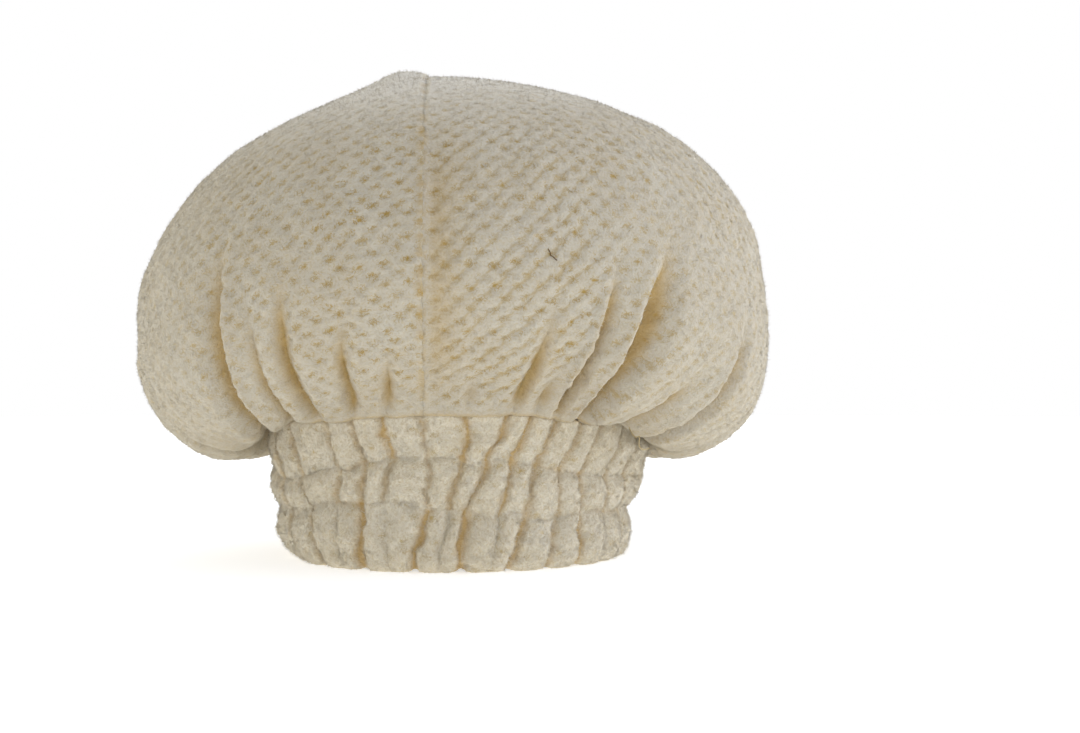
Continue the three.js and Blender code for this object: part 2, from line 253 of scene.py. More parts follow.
def crownOutline(angle, level):
    # distance out, height and shift at an angle in degrees and a level
    turn = np.abs(wrapAngle(angle))
    behind = smoothStep(turn, crown["tuckFrom"], crown["tuckTo"])
    side = smoothStep(turn, crown["overhangStart"], crown["overhangFull"])
    side = side * (1 - crown["tuckSag"] * behind)
    table = np.vstack([crownLevels, crownLevels[-2] * (-1, 1, -1, 1, 1)])
    sideOut, sideUp, frontOut, frontUp, shift = (curveThrough(column, level) for column in table.T)
    out = mix(frontOut, sideOut, side) * (1 - crown["tuckOut"] * behind * smoothStep(level, 1, 5))
    return out, mix(frontUp, sideUp, side), shift


def joinSag(angle):
    # at the front the join dips to both sides of the middle and wanders a little
    turn = np.radians(angle)
    around = np.stack([8 * np.sin(turn), 8 * np.cos(turn), 0 * turn], axis=-1)
    sides = bell((wrapAngle(angle) - 50) / 24) + bell((wrapAngle(angle) + 50) / 24)
    return -crown["joinDip"] * sides + 0.9 * noise(around, 1, 61) * smoothStep(np.cos(turn), -0.2, 0.3)


def seamAngle(level, facing):
    out, _, shift = crownOutline(np.full_like(level, facing), level)
    return np.degrees(np.arcsin(np.clip((seamOffset - shift) / np.maximum(out, 1), -1, 1)))


def creaseAngle(crease, level):
    if crease == "front seam":
        return seamAngle(level, 0)
    if crease == "back seam":
        return 180 - seamAngle(level, 180)
    low, mid, high, top = crease[:4]
    t = np.minimum(level / top, 1)
    angle = low * (1 - t) * (1 - 2 * t) + mid * 4 * t * (1 - t) + high * t * (2 * t - 1)
    swingStart = np.full_like(level, crown["seamSwing"])
    swing = np.where(level > crown["seamSwing"], seamAngle(level, 0) - seamAngle(swingStart, 0), 0)
    return angle + swing * np.cos(np.radians(angle))


def creaseDepth(crease, level):
    if isinstance(crease, str):
        return crown["grooveDepth"] * mix(0.1, 1, smoothStep(level, 9.5, 12.5))
    top, depth = crease[3:5]
    return depth * mix(0.1, 1, smoothStep(level, 0.8, 3)) * (1 - smoothStep(level, 0.5 * top, top))


def levelRows():
    # levels a mesh spacing apart, measured along the outline half way between front and side
    fine = np.linspace(1, topLevel, 2000)
    out, up, _ = crownOutline(np.full_like(fine, 50), fine)
    along = np.concatenate([[0], np.cumsum(np.hypot(np.diff(out), np.diff(up)))])
    count = int(along[-1] / cloth["pitch"])
    return np.interp(np.linspace(0, along[-1], count + 1), along, fine)


rowLevels = np.concatenate([[0, 0.5], levelRows()])


def panelColumns(first, last):
    # for every column of a panel: the crease on its left, and its share of the way to the next one
    gaps, shares = [], []
    mid = np.linspace(5, 9, 9)
    for gap in range(first, last):
        here, there = creases[gap], creases[gap + 1]
        width = (creaseAngle(there, mid) - creaseAngle(here, mid)) % 360
        out, _, _ = crownOutline(creaseAngle(here, mid), mid)
        count = max(4, round(float((np.radians(width) * out).mean()) / cloth["pitch"]))
        if gap == last - 1:
            count += -(len(gaps) + count) % 16  # so that rings near the peak can take every 16th column
        gaps += [gap] * count
        shares += list(np.arange(count) / count)
    return np.array(gaps + [last - 1]), np.array(shares + [1.0])


def ridgeProfile(t):
    # from the soft foot of a crease at 0 up to the rounded ridge beside it at 1
    return mix(1 - (1 - np.clip(t, 0, 1)) ** 2.2, smoothStep(t, 0, 1), 0.7)


def creaseRelief(gaps, reach, toLeft, toRight):
    # what the creases on either side add to the outline in mm, how far in the cloth is folded, and how
    # near it is to the bottom of a crease
    depths = np.stack([creaseDepth(crease, rowLevels) for crease in creases], axis=1)
    ridges = np.array([(crown["grooveWidth"],) * 2 if isinstance(c, str) else c[5:7] for c in creases])
    isCrease = np.array([not isinstance(crease, str) for crease in creases])
    folds, feet, rises, besides, ends = 0, 0, [], [], []
    for k, far in ((0, toLeft), (1, toRight)):
        ridge = np.minimum(ridges[gaps + k, 1 - k], crown["ridgeReach"] * reach)
        foot, folded = depths[:, gaps + k], isCrease[gaps + k]
        rise = crown["ridgeShare"] * foot * folded
        folds = folds + folded * foot * bell(far / crown["foldWidth"])
        feet = np.maximum(feet, folded * smoothStep(foot, 0.8, 4) * bell(far / crown["footWidth"]))
        rises.append(rise)
        besides.append(mix(-foot, rise, ridgeProfile(far / ridge)))
        ends.append(ridge)
    between = (toLeft - ends[0]) / np.maximum(reach - ends[0] - ends[1], 1e-6)
    relief = mix(*rises, smoothStep(between, 0, 1))
    relief = np.where(toLeft < ends[0], besides[0], relief)
    relief = np.where(toRight < ends[1], besides[1], relief)
    return relief, folds, feet


def seamRelief(fromSeam, atFront, level, side):
    # beside the front seam: a lip on its left, and on its right a hollow, whose share comes back too
    if side < 0:
        height, wide = crown["seamLip"]
        lip = height * bell(fromSeam / wide) * atFront
        return lip * smoothStep(level, 3, 5) * (1 - smoothStep(level, 10, 13)), 0 * fromSeam
    depth, deepest, stop = crown["seamValley"]
    valley = mix(0.3, 1, smoothStep(fromSeam, 0, deepest)) * (1 - smoothStep(fromSeam, deepest, stop))
    valley = valley * atFront * smoothStep(level, 1.5, 5) * (1 - smoothStep(level, 9, 12))
    return -depth * valley, valley


def offsetOutline(outline, turn, amount, side, lap=0):
    # the panel's surface so far outside its outline, with its cut edges in the seam's plane
    out, up, shift = outline
    along = np.stack([np.gradient(out, axis=0), np.gradient(up, axis=0)], axis=-1)
    normal = np.stack([unit(along)[..., 1], -unit(along)[..., 0]], axis=-1)
    normal[-1] = (0, 1)
    far, high = out + normal[..., 0] * amount, up + normal[..., 1] * amount
    points = np.stack([shift + far * np.sin(turn), -far * np.cos(turn), high], axis=-1)
    points[:, 0, 0] = points[:, -1, 0] = seamOffset + side * cloth["pieceGap"] / 2 + lap
    points[-1, :, :2] = (seamOffset + side * cloth["pieceGap"] / 2, 0)
    return points


def domeFaces(rings):
    # faces from ring to ring, and a fan round the single vertex that is the last ring
    faces = [face for below, above in zip(rings[:-1], rings[1:-1]) for face in ringFaces(below, above)]
    return faces + [[here, there, rings[-1][0]] for here, there in zip(rings[-2], rings[-2][1:])]


def panelShell(name, outer, inner, layers, radii):
    # vertices ring by ring, with fewer columns towards the peak, and a plainer inner face
    points, values = [], {key: [] for key in layers}
    lastRow = len(outer) - 1

    def addRing(grid, row, stride, isOuter):
        start = sum(len(ring) for ring in points)
        columns = np.arange(0, grid.shape[1], stride) if row < lastRow else np.zeros(1, int)
        points.append(grid[row, columns])
        for key, layer in layers.items():
            shows = row < lastRow and (isOuter or key not in ("pit", "link"))
            values[key].append(layer[row, columns] * shows)
        return list(range(start, start + len(columns)))

    strides = [next((n for below, n in cloth["thinned"] if radius < below), 1) for radius in radii]
    outerRings = [addRing(outer, row, strides[row], True) for row in range(lastRow + 1)]
    innerRows = [*range(0, lastRow, 4), lastRow]
    innerRings = [addRing(inner, row, min(16, 4 * strides[row]), False) for row in innerRows]
    faces = domeFaces(outerRings) + [face[::-1] for face in domeFaces(innerRings)]
    faces += [face[::-1] for face in ringFaces(outerRings[0], innerRings[0])]

    # the cut edges along the seam
    flatFrom = len(faces)
    for end in (0, -1):
        outerEdge, innerEdge = ([ring[end] for ring in rings] for rings in (outerRings, innerRings))
        for i, (start, stop) in enumerate(zip(innerRows, innerRows[1:])):
            face = [*outerEdge[start:stop + 1], innerEdge[i + 1], innerEdge[i]]
            faces.append(face if end == -1 else face[::-1])

    placed = np.vstack(points) * mm + axis
    values = {key: np.concatenate(value) for key, value in values.items()}
    values["outside"] = (np.arange(len(placed)) <= outerRings[-1][0]).astype(float)
    return meshObject(name, placed, faces, values, flatFrom)


def crownPanel(name, first, last, side):
    gaps, shares = panelColumns(first, last)
    level = rowLevels[:, None]
    angles = np.stack([creaseAngle(crease, rowLevels) for crease in creases], axis=1)
    width = (angles[:, gaps + 1] - angles[:, gaps]) % 360
    angle = angles[:, gaps] + width * shares
    out, up, shift = crownOutline(angle, level + 0 * angle)
    up = up + joinSag(angle) * (1 - smoothStep(level, 1, 4.5))
    up = up - crown["overBand"] * (1 - smoothStep(level, 1, 2))
    turn = np.radians(angle)
    base = np.stack([shift + out * np.sin(turn), -out * np.cos(turn), up], axis=-1)
    down = np.cumsum(np.linalg.norm(np.diff(base, axis=0), axis=-1)[::-1], axis=0)[::-1]
    fromPeak = np.vstack([down, np.zeros((1, len(shares)))])

    # distances in mm to the creases on either side, and the relief that they and the seam give
    reach = np.radians(width) * np.maximum(out, 1)
    toLeft, toRight = shares * reach, (1 - shares) * reach
    fromSeam = toLeft if side > 0 else toRight
    atFront = gaps == (first if side > 0 else last - 1)
    relief, folds, feet = creaseRelief(gaps, reach, toLeft, toRight)
    if side < 0:
        x, y, radius, height = crown["peakTuft"]
        relief = relief + height * bell(np.hypot(base[..., 0] - x, base[..., 1] - y) / radius)
    besideSeam, valley = seamRelief(fromSeam, atFront, level, side)
    relief = relief + besideSeam

    reachOver, uneven, length = crown["lipReach"]
    wave = noise(fromPeak[:, :1] * (1, 0, 0), length, 81)
    lap = (reachOver + uneven * wave) * np.clip(fromPeak[:, 0] / 20, 0, 1)
    outline = (out, up, shift)
    outer = offsetOutline(outline, turn, relief, side, lap if side < 0 else 0)
    inner = offsetOutline(outline, turn, relief - cloth["crownThickness"], side)
    pits, shown, bowls, links = crownPits(angle, out, fromPeak, side, base)
    # the waffle is pressed flat where the cloth folds in
    shown, bowls, links = (layer * (1 - smoothStep(folds, 0.2, 2.5)) for layer in (shown, bowls, links))
    # towards the peak the pile is rubbed flat, and painted light lightens its colour there
    rubbed = 1 - smoothStep(fromPeak, *crown["rubbed"])
    fuzz = sum(rise * noise(outer, size, seed) for rise, size, seed in crown["fuzz"])
    fuzz = fuzz * (1 - fleece["flattened"] * rubbed) * mix(0.3, 1, smoothStep(level, 1, 2.5))
    atSeam = np.minimum(1, np.minimum(np.arange(len(shares)), np.arange(len(shares))[::-1]) / 3)
    atSeam = atSeam * np.clip((topLevel - level) * 8, 0, 1)
    sunk = waffle["coreDepth"] * shown * pits ** 2 + waffle["bowlDepth"] * bowls
    sunk = sunk + waffle["linkDepth"] * smoothStep(links, 0, 1)
    lift = fuzz * (1 + crown["fuzzInFolds"] * np.minimum(folds, 6)) - sunk
    outer = outer + gridNormals(outer) * (lift * atSeam)[..., None]

    # painted shade: golden in the low places, the folds, the seam's hollow, the join and the seam
    paintedCreaseShade = 0.85 * smoothStep(-relief, 0.2, 5)
    atJoin = 0.6 * bell((level - 1) / 0.3) + 0 * relief
    inSeam = 0.55 * bell(fromSeam / 1.8) * atFront * smoothStep(wave, -0.4, 0.6)[:, None]
    crease = np.max([paintedCreaseShade, feet, 0.22 * valley, atJoin, inSeam], axis=0)
    layers = {"crease": crease, "pit": pits, "shown": shown, "link": links, "rubbed": rubbed}
    return panelShell(name, outer, inner, layers, out.mean(axis=1))


waffle = {
    "across": 8.9,  # from pit to pit along a row
    "down": 4.4,  # from row to row, every other row standing half a pit aside
    "drop": 0.45,  # how strongly the rows fall away from the seam
    "stretch": 1.5,  # how much wider a pit is than high
    "bowl": 3.3,  # radius where the pile is at its full height again
    "jitter": 0.8,
    "ragged": 0.75,  # how far the pile's clumps push a pit's edge about
    "coreDepth": 0.25,
    "bowlDepth": 0.3,
    "linkDepth": 0.45,  # low down on the right of the seam thin slanting grooves link the pits
    "linkWidth": 2.2,
    "swing": 1.6,  # how soon the rows' fall away from the seam turns level again
    "hidden": (45, 135),  # mm from the peak where the pits start to show and show fully
    "atSides": {-1: 0.45, 1: 0.65},  # how much of them shows on the left and the right lobe
}


def latticePits(beside, fromPeak, out, turn, half, seed, sewnIn):
    # beside is the distance from the seam along a level, and fromPeak down the outline
    across, down, swing = waffle["across"], waffle["down"], waffle["swing"]
    drop = waffle["drop"] * out * (1 - np.cos(swing * turn)) / swing ** 2
    v = fromPeak - drop
    slope = np.gradient(out, axis=0) / np.minimum(np.gradient(fromPeak, axis=0), -1e-6)
    shear = np.clip(turn * slope, -1.2, 1.2)
    row0 = np.round(v / down)
    near, shown, bowl, link = (np.zeros(v.shape) for _ in range(4))
    for rowStep in (-1, 0, 1):
        row = row0 + rowStep
        odd = np.mod(row, 2)
        column0 = np.round(beside / across - odd / 2)
        for columnStep in (-1, 0, 1):
            column = column0 + columnStep
            place = (column + odd / 2) * across
            du = beside - place - shear * (v - row * down)
            dv = v - row * down
            own = (place > sewnIn) & (place < out * half - 1.5)
            du = du + waffle["jitter"] * (2 * hashed(row, column, seed) - 1)
            dv = dv + waffle["jitter"] * (2 * hashed(row, column, seed + 7) - 1)
            strength = own * (0.75 + 0.4 * hashed(row, column, seed + 13))
            distance = np.hypot(du / waffle["stretch"], dv)
            close = own * np.maximum(1 - distance / waffle["bowl"], 0)
            shown = np.where(close > near, strength, shown)
            near = np.maximum(near, close)
            bowl = np.maximum(bowl, strength * (1 - smoothStep(distance, 0.5, waffle["bowl"])))
            # half way to the next pit up and to the right
            along, aside = (du - dv) / 2 ** 0.5, (du + dv) / 2 ** 0.5
            reach = 0.3 * across
            off = np.hypot(np.maximum(np.abs(along - reach) - reach, 0), aside)
            link = np.maximum(link, own * np.maximum(1 - off / waffle["linkWidth"], 0))
    return near, shown, bowl, link


def crownPits(angle, out, fromPeak, side, base):
    level = rowLevels[:, None]
    atFront, atBack = (creaseAngle(seam, rowLevels)[:, None] for seam in ("front seam", "back seam"))
    frontTurn = np.radians(side * wrapAngle(angle - atFront - side * 100) + 100)
    half = np.radians((side * (atBack - atFront)) % 360) / 2
    backTurn = 2 * half - frontTurn
    sideways, upwards = (waffle["ragged"] * noise(base, 1.9, seed) for seed in (71, 72))
    sewnIn = -0.5 if side < 0 else 1.5
    front, back = (
        latticePits(out * turn + sideways, fromPeak + upwards, out, turn, half, seed + side, sewnIn)
        for turn, seed in ((frontTurn, 20), (backTurn, 40))
    )
    nearSeam = np.minimum(frontTurn, backTurn)
    aside = mix(1, waffle["atSides"][side], smoothStep(nearSeam, 0.5, 1.0))
    showing = aside * mix(0.1, 1, smoothStep(fromPeak, *waffle["hidden"]))
    showing = showing * smoothStep(level, 1.2, 2.5) * (1 + 0.2 * noise(base, 24, 73))
    x, y, z, size, darker = crown["strongerPits"]
    showing = showing + darker * bell(np.linalg.norm(base - (x, y, z), axis=-1) / size)
    linked = 0
    if side > 0:
        linked = smoothStep(fromPeak, 80, 105) * (1 - smoothStep(frontTurn, 0.45, 0.75))
    near, shown, bowl, link = (np.where(frontTurn < half, a, b) for a, b in zip(front, back))
    return near, shown * showing, bowl * showing, link * linked * showing


# Heights of the two inner rows of stitching round the band.
shirring = np.array([
    # angle, lower, upper
    (-180, 25, 42), (-135, 25, 41), (-90, 23, 38), (-60, 23.5, 37), (-27, 29.5, 44.5), (0, 25, 46),
    (25, 21.5, 42.5), (55, 21.5, 36.5), (90, 22, 36), (135, 24, 40), (180, 25, 42),
])
# The gathers across the front: the angle where each groove crosses the join, the two rows of stitching
# and the hem, and how strongly it shows in the top, middle and bottom rows.
frontGathers = [
    # join, upper, lower, hem, top, middle, bottom
    (-60, -56, -51, -47, 0.9, 0.5, 0.7),
    (-41, -38, -38.5, -38, 0.6, 0.8, 0.06),
    (-31, -28, -29, -30, 0.8, 0.9, 1.3),
    (-21.5, -19, -21.5, -21, 1.3, 0.7, 0.06),
    (-10, -8, -8.5, -13, 0.7, 0.7, 1.3),
    (3.5, 2, -2, -4.5, 1.2, 0.9, 0.06),
    (15.5, 10, 3.5, 1.5, 1, 1, 1.3),
    (23, 18, 13, 10.5, 1.1, 1, 0.1),
    (31, 25.5, 22, 16, 0.9, 0.8, 1.1),
    (40, 34, 33, 29.5, 0.8, 0.8, 0.8),
    (50, 42, 43.5, 42, 0.8, 0.7, 1.2),
    (64, 54, 56, 56, 0.8, 0.7, 0.1),
]
band = {
    "radius": 78,
    "top": 63.75,
    "wall": 7.5,
    "hemFlat": 4.5,  # width of the flat ring that the hem stands on
    "plainGathers": 21,  # round the sides and the back
    "unevenness": 0.3,  # in where they stand
    "closedUp": 0.25,  # how strongly every third one shows in its bottom row
    "grooveWidth": 1.3,
    "fuzz": ((0.3, 1.7, 7), (0.3, 3.1, 8), (0.8, 7.5, 9)),  # height, size and seed of the pile's lumps
    "wander": 1.3,  # how far the rows of stitching stray
    "sway": 1.1,  # degrees the grooves wander
    "ragged": 1.2,  # how far the pile pushes their edges about
    "stagger": 1.8,  # how far a puff's ends stand above or below its neighbours'
    "columnsPerGather": 24,
    "facesUp": (33, 25, 29),  # from the hem to the first stitching, on to the second, and to the join
    "innerStride": 5,  # columns for each one of the inner face
    "hemDrawn": 1.6,
    "dome": (0.8, 2),  # how far a puff's sides fall away, and how suddenly
    "tuck": (-88, 34, 7, 22),  # the hem turns under at the left: angle, spread, depth and height
    "flares": [(-90, 30, 3.5), (90, 30, 8.5)],  # the sides lean out: angle, spread and distance
}
# The outer face from the hem up: the row of stitching, what is added to the radius, and how deep the
# gathers cut in.
bandLevels = np.array([
    # row, out, cut
    (0, -2.6, 1.4), (0.06, -0.8, 1.8), (0.18, 1.1, 2.4), (0.5, 2.7, 2.9), (0.8, 1.6, 2.6),
    (0.94, 0.1, 1.8), (1, -0.9, 1),
    (1.06, 0.1, 1.7), (1.2, 1.3, 2.2), (1.5, 2.4, 2.5), (1.8, 1.3, 2.2),
    (1.94, 0.1, 1.7), (2, -0.8, 1),
    (2.06, 0.2, 1.6), (2.2, 1.4, 2.2), (2.5, 3.2, 2.5), (2.8, 4.5, 2.6),
    (2.94, 5.4, 2.6), (3, 5.2, 2.6),
])


def stitchHeight(angle, column):
    # a smooth closed curve through one column of the shirring table
    count = len(shirring) - 1
    knots, heights = shirring[:, 0], shirring[:, column]
    i = np.clip(np.searchsorted(knots, angle, side="right") - 1, 0, count - 1)
    t = (angle - knots[i]) / (knots[i + 1] - knots[i])
    before, here, there, after = (heights[(i + k) % count] for k in (-1, 0, 1, 2))
    slopeIn, slopeOut, rise = (there - before) / 2, (after - here) / 2, there - here
    turn = np.radians(angle)
    around = np.stack([9 * np.sin(turn), 9 * np.cos(turn), 5.5 * column + 0 * turn], axis=-1)
    stray = band["wander"] * noise(around, 1, 31)
    bow = (3 * rise - 2 * slopeIn - slopeOut) * t ** 2 + (slopeIn + slopeOut - 2 * rise) * t ** 3
    return here + stray + slopeIn * t + bow


def bandHeight(angle, row):
    join = band["top"] + joinSag(angle)
    lines = [np.zeros_like(angle), stitchHeight(angle, 1), stitchHeight(angle, 2), join]
    below = np.minimum(np.floor(row).astype(int), 2)
    lower, upper = np.choose(below, lines), np.choose(below + 1, lines)
    return mix(lower, upper, row - below)


def allGathers():
    first, last = np.array(frontGathers[0][:4]), np.array(frontGathers[-1][:4])
    rows = [list(row) for row in frontGathers]
    for i in range(band["plainGathers"]):
        share = (i + 1 + band["unevenness"] * math.sin(2.4 * i)) / (band["plainGathers"] + 1)
        crossing = mix(last, first + 360, share)
        rows.append([*crossing, 1, 1, band["closedUp"] if i % 3 == 1 else 1])
    return np.array(rows)


def puffEdge(distance):
    # how far the cloth falls in beside a gather's groove
    share = distance / band["grooveWidth"]
    return 0.5 * bell(share) + 0.5 * np.exp(-share / 2.2)


def bandPits(angle, height, groove):
    # on the band the gathers have pushed the waffle's pits about
    across, down = waffle["across"], 1.6 * waffle["down"]
    around = np.radians(angle) * band["radius"]
    row0 = np.round(height / down)
    near = np.zeros(height.shape)
    for rowStep in (-1, 0, 1):
        row = row0 + rowStep
        column0 = np.round(around / across)
        for columnStep in (-1, 0, 1):
            column = column0 + columnStep
            du = around - across * (column + 0.7 * hashed(row, column, 51) - 0.35)
            dv = height - down * (row + 0.7 * hashed(row, column, 52) - 0.35)
            strength = 0.55 + 0.45 * hashed(row, column, 53)
            close = np.maximum(1 - np.hypot(du / 1.3, dv) / waffle["bowl"], 0)
            near = np.maximum(near, strength * close)
    return near * (1 - smoothStep(groove, 0.3, 0.8))


def bandShape(rows):
    # the puffed outer face as a grid of points, with what the inner face and the material need
    gathers = allGathers()
    count = band["columnsPerGather"]
    index = np.repeat(np.arange(len(gathers)), count)
    following = (index + 1) % len(gathers)
    share = np.tile(np.arange(count) / count, len(gathers))
    row = rows[:, None]
    below = np.minimum(np.floor(rows).astype(int), 2)

    # the angles where the grooves cross each row, and how strongly they show there
    lines = gathers[:, [3, 2, 1, 0]].T
    crossings = mix(lines[below], lines[below + 1], (rows - below)[:, None])
    strengths = gathers[:, [6, 5, 4]].T[below]
    start = crossings[:, index]
    gap = (crossings[:, following] - start) % 360
    wander = np.stack([index + 0 * start, 2.2 * row + 0 * start, 0 * start], axis=-1)
    left, right = (noise(wander + (k, 0, 0.5), 1, 33) for k in (0, 1))
    angle = wrapAngle(start + gap * share + band["sway"] * mix(left, right, share))
    turn = np.radians(angle)

    # how deep the cloth lies in the grooves, and how the puffs between them swell
    far = band["radius"]
    around = np.stack([far * np.sin(turn), far * np.cos(turn), 21 * row + 0 * angle], axis=-1)
    ragged = band["ragged"] * noise(around, 2.6, 35)
    faint = mix(0.75, 1.15, 0.5 + 0.5 * noise(wander * (1, 1.5, 1), 1, 34))
    reach = np.radians(gap) * far
    toLeft = puffEdge(np.abs(share * reach + ragged))
    toRight = puffEdge(np.abs((1 - share) * reach - ragged))
    groove = faint * (strengths[:, index] * toLeft + strengths[:, following] * toRight)
    domeDepth, domePower = band["dome"]
    dome = domeDepth * np.abs(2 * share - 1) ** domePower

    # the hem is drawn up where a groove meets it, and puffs end higher or lower than their neighbours
    height = bandHeight(angle, row + 0 * angle)
    height = height + band["hemDrawn"] * groove * (1 - smoothStep(row, 0, 0.25))
    for stitching in (1, 2):
        offset = band["stagger"] * (2 * hashed(index, stitching + 80) - 1) * np.sin(np.pi * share)
        height = height + offset * bell((row - stitching) / 0.4)
    tuckAngle, tuckSpread, tuckDepth, tuckHeight = band["tuck"]
    tuck = tuckDepth * bell((angle - tuckAngle) / tuckSpread)
    tuck = tuck * np.maximum(0, 1 - height / tuckHeight) ** 2
    upright = smoothStep(height, 18, 40) * (1 - smoothStep(height, 46, 60))
    flare = upright * sum(out * bell((angle - at) / wide) for at, wide, out in band["flares"])
    bulge, cut = (np.interp(rows, bandLevels[:, 0], bandLevels[:, k])[:, None] for k in (1, 2))
    radius = far + bulge - cut * np.clip(groove + dome, 0, 1.3) - tuck + flare
    outer = np.stack([radius * np.sin(turn), -radius * np.cos(turn), height], axis=-1)
    ends = np.clip(np.minimum(rows, 3 - rows) * 6, 0, 1)[:, None]
    fuzz = sum(rise * noise(outer, size, seed) for rise, size, seed in band["fuzz"])
    closed = np.concatenate([outer[:, -1:], outer, outer[:, :1]], axis=1)
    outer = outer + gridNormals(closed)[:, 1:-1] * (fuzz * ends)[..., None]
    return outer, angle, height, groove, flare - tuck


def bandPiece():
    rows = np.unique([k + i / n for k, n in enumerate(band["facesUp"]) for i in range(n + 1)])
    outer, angle, height, groove, leaning = bandShape(rows)
    count, step = outer.shape[1], band["innerStride"]
    columns = np.arange(0, count, step)
    rings = []
    for level in (3, 2, 1, 0):
        k = int(np.argmin(np.abs(rows - level)))
        wall = band["hemFlat"] - bandLevels[0, 1] if level == 0 else band["wall"]
        far = band["radius"] - wall + leaning[k, columns]
        turn = np.radians(angle[k, columns])
        rings.append(np.stack([far * np.sin(turn), -far * np.cos(turn), height[k, columns]], axis=-1))

    # the outer face, then round the inner one: the join, the way down and the flat hem
    faces = []
    for r in range(len(rows) - 1):
        for c in range(count):
            n = (c + 1) % count
            faces.append([r * count + c, r * count + n, (r + 1) * count + n, (r + 1) * count + c])
    few, top, outerCount = len(columns), (len(rows) - 1) * count, len(rows) * count
    starts = [outerCount + few * k for k in range(len(rings))]
    for i in range(few):
        n = (i + 1) % few
        hem = [(i * step + k) % count for k in range(step + 1)]
        faces.append([*(top + k for k in hem), starts[0] + n, starts[0] + i])
        faces += [[a + i, a + n, b + n, b + i] for a, b in zip(starts, starts[1:])]
        faces.append([*reversed(hem), starts[-1] + i, starts[-1] + n])

    # painted shade: golden in the low places, the grooves, parts of the stitching and the join
    row = rows[:, None]
    grooves = 0.35 * smoothStep(groove, 0.15, 0.6) + 0.45 * smoothStep(groove, 0.6, 1.1)
    stitching = (bell((row - 1) / 0.05) + bell((row - 2) / 0.05)) * noise(outer, 9, 12)
    crease = np.clip(grooves + 0.4 * stitching + 0.6 * bell((row - 3) / 0.03), 0, 1)
    outside = np.ones_like(crease)
    pit = bandPits(angle, height, groove)
    layers = {"crease": crease, "pit": pit, "shown": 0.8 * outside, "outside": outside}
    inner = np.zeros(few * len(rings))
    values = {key: np.concatenate([layer.reshape(-1), inner]) for key, layer in layers.items()}
    placed = np.vstack([outer.reshape(-1, 3), *rings]) * mm + axis
    return meshObject("band_cloth", placed, faces, values)


nap = {
    "crownLength": (0.9, 1.9),  # shortest and longest fibre in mm
    "bandLength": (1.3, 3),
    "radius": 0.15,
    "rootDepth": 0.2,
    "lean": 2.6,  # how much further a fibre reaches sideways than up
    "sag": 0.4,
    "inCrease": 0.5,  # how much shorter the fibres are deep in a crease
    "fibres": {"crown_left": 42000, "crown_right": 47000, "band": 40000},
}


def napOver(name, cloth, count, lengths, seed):
    # loose fibres standing off a cloth's outer face, which soften its edges
    mesh = cloth.data
    mesh.calc_loop_triangles()
    corners = np.empty(3 * len(mesh.loop_triangles), np.int32)
    mesh.loop_triangles.foreach_get("vertices", corners)
    corners = corners.reshape(-1, 3)
    places, normals = (np.empty(3 * len(mesh.vertices), np.float32) for _ in range(2))
    mesh.vertices.foreach_get("co", places)
    mesh.vertices.foreach_get("normal", normals)
    places, normals = places.reshape(-1, 3) / mm, normals.reshape(-1, 3)
    crease, outside = (np.empty(len(mesh.vertices), np.float32) for _ in range(2))
    mesh.attributes["crease"].data.foreach_get("value", crease)
    mesh.attributes["outside"].data.foreach_get("value", outside)
    corners = corners[outside[corners].min(axis=1) > 0.5]
    a, b, c = (places[corners[:, k]] for k in range(3))
    area = np.linalg.norm(np.cross(b - a, c - a), axis=1)

    chance = np.random.default_rng(seed)
    picked = corners[chance.choice(len(corners), count, p=area / area.sum())]
    weights = chance.dirichlet((1, 1, 1), count)[..., None]
    creased = (crease[picked][..., None] * weights).sum(axis=1)
    root = (places[picked] * weights).sum(axis=1)
    up = unit((normals[picked] * weights).sum(axis=1))
    sideways = unit(np.cross(up, chance.normal(size=(count, 3))))
    other = np.cross(up, sideways)
    length = chance.uniform(*lengths, (count, 1)) * (1 - nap["inCrease"] * creased)
    down = np.array((0, 0, -1)) + up * up[:, 2:]
    reach = unit(up + nap["lean"] * chance.uniform(0.3, 1, (count, 1)) * sideways + nap["sag"] * down)
    foot = root - up * nap["rootDepth"]
    turns = np.radians((0, 120, 240))
    ring = [foot + nap["radius"] * (np.cos(t) * sideways + np.sin(t) * other) for t in turns]
    points = np.stack([*ring, root + length * reach], axis=1).reshape(-1, 3)
    sides = np.array(((0, 1, 3), (1, 2, 3), (2, 0, 3), (0, 2, 1)))
    faces = (4 * np.arange(count)[:, None, None] + sides).reshape(-1, 3)
    # the fibres take on the cloth's painted shade in its creases
    values = {"crease": np.repeat(creased[:, 0], 4), "pit": np.zeros(4 * count)}
    fibres = meshObject(name, points * mm, faces.tolist(), values)
    fibres.data.normals_split_custom_set_from_vertices(np.repeat(up, 4, axis=0).tolist())
    return fibres


# Loose bits on the cloth: way points in mm from the cap's axis, with the front at -Y.
looseBits = {
    "stray_thread": {
        "points": [
            (72.5, -59, 58), (73.5, -66, 53.5), (76, -68, 55),
            (75, -69, 50.5), (77.5, -67, 48.5), (80, -66, 49.5),
        ],
        "radius": 0.22,
        "colour": "#cdb988",
    },
    "dark_fibre": {
        "points": [
            (34.1, -123.7, 125.4), (35.2, -123.4, 124.0), (35.0, -123.8, 122.9),
            (36.4, -123.6, 122.2), (37.6, -123.4, 121.0),
        ],
        "radius": 0.2,
        "colour": "#6b5232",
    },
}


